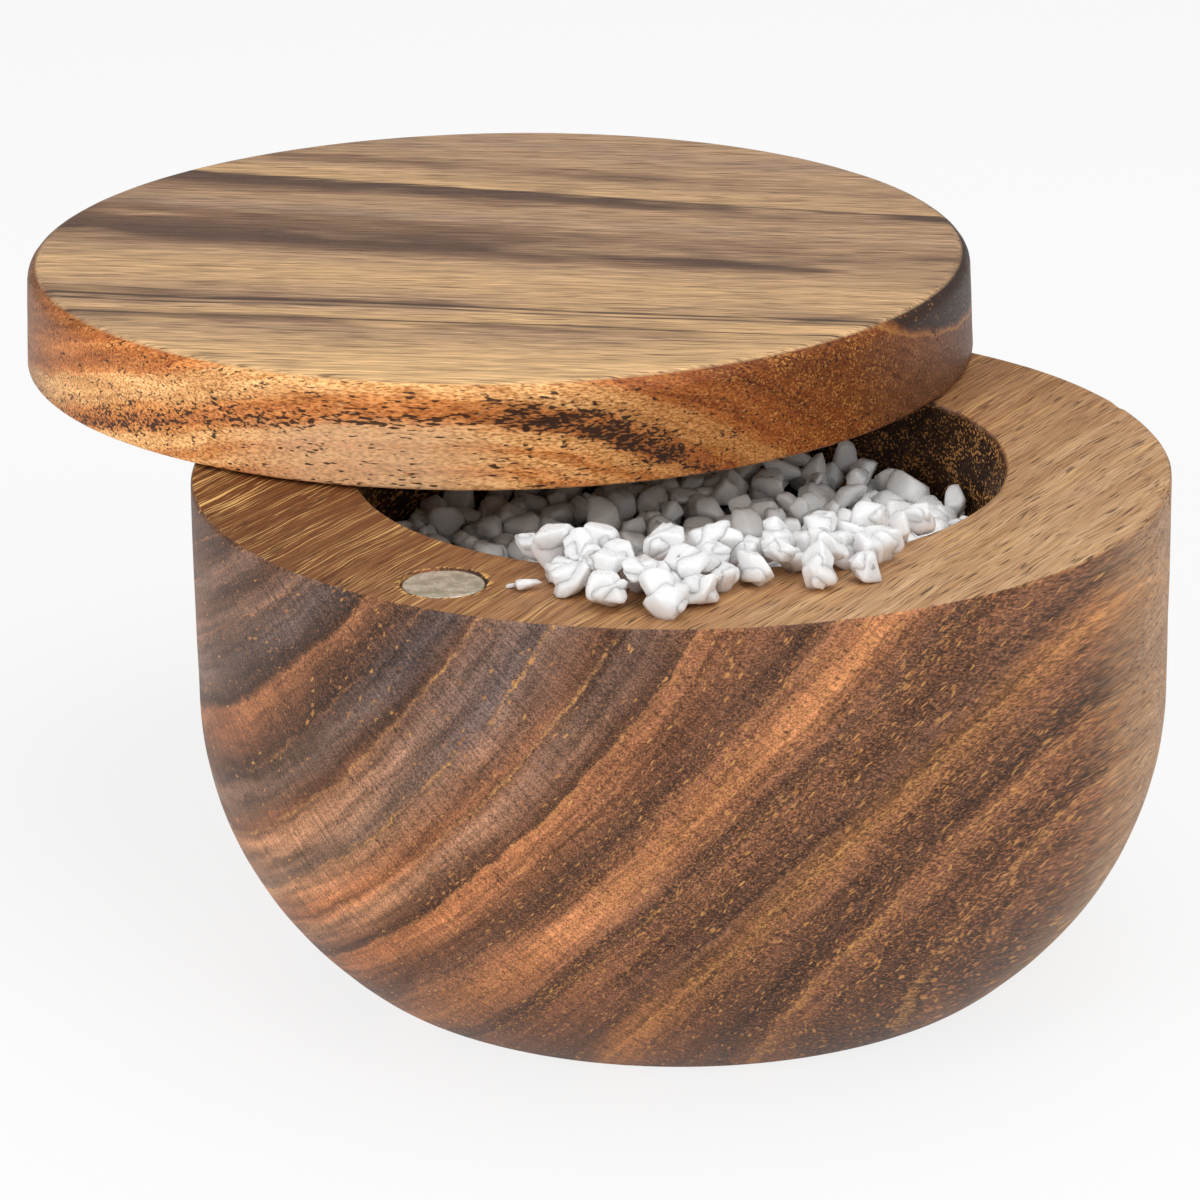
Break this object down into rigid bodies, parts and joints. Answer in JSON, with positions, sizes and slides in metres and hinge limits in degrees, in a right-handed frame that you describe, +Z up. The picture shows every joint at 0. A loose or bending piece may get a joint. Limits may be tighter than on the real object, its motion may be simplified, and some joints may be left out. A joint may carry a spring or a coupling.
{
  "type": "salt pig",
  "caption": "Round turned wooden salt bowl with a flat base and a thick round wooden lid that swings level on a pin in the rim, held shut by a magnet catch.",
  "frame": {"origin": "centre of the bowl's flat base, on the surface it stands on", "axes": "+Z up along the bowl's turning axis; -Y is the front; +X is to the right seen from the front"},
  "size_m": [0.1217, 0.1442, 0.0623],
  "materials": {
    "bowl_wood": "oiled satin acacia, dark and figured",
    "lid_wood": "oiled satin acacia, straight grained",
    "pin_steel": "ground",
    "bush_plastic": "natural",
    "magnet": "dull nickel plate"
  },
  "bodies": {
    "bowl": {"bowl": "bowl_wood", "pivot_bush": "bush_plastic", "bowl_magnet": "magnet"},
    "lid": {"lid": "lid_wood", "pivot_pin": "pin_steel", "lid_magnet": "magnet"}
  },
  "joints": [
    {"name": "lid_swivel", "type": "hinge", "parent": "bowl", "child": "lid", "pos_m": [0.02268, 0.0363, 0.051], "axis": [0, 0, -1], "range_deg": [-66, 114]}
  ]
}
